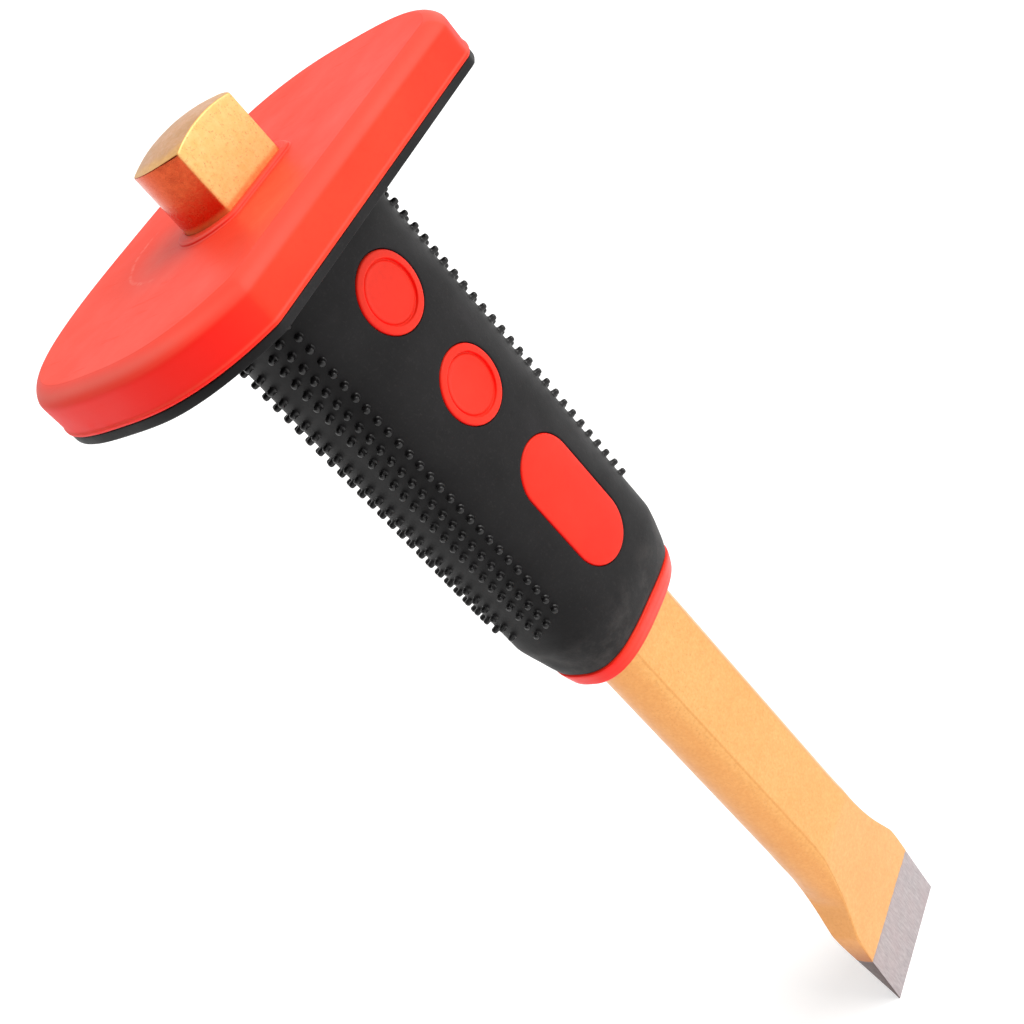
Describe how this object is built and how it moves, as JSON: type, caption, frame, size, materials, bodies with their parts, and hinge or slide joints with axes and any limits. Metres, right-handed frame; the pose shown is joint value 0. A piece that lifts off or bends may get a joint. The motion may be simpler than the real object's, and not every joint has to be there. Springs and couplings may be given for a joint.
{
  "type": "masonry chisel with hand guard",
  "caption": "Flat-oval forged masonry chisel with a flared ground blade and a push-on two-colour hand guard and grip.",
  "frame": {"origin": "middle of the cutting edge", "axes": "+Z along the tool from the cutting edge to the struck head, +X along the cutting edge, the broad faces look along -Y and +Y"},
  "size_m": [0.1076, 0.0769, 0.299],
  "materials": {
    "painted_steel": "satin gold paint, bare ground bevels",
    "red_plastic": "satin moulded",
    "black_rubber": "soft satin"
  },
  "bodies": {
    "chisel": {"chisel_bar": "painted_steel"},
    "hand_guard": {"guard_shield": "red_plastic", "guard_backing": "black_rubber", "grip_core": "red_plastic", "grip_cover": "black_rubber", "nose_collar": "red_plastic", "upper_round_pad_front": "red_plastic", "upper_round_pad_back": "red_plastic", "middle_round_pad_front": "red_plastic", "middle_round_pad_back": "red_plastic", "long_pad_front": "red_plastic", "long_pad_back": "red_plastic"}
  },
  "joints": [
    {"name": "guard_pull_off", "type": "slide", "parent": "chisel", "child": "hand_guard", "axis": [0, 0, 1], "range_m": [0, 0.13]}
  ]
}
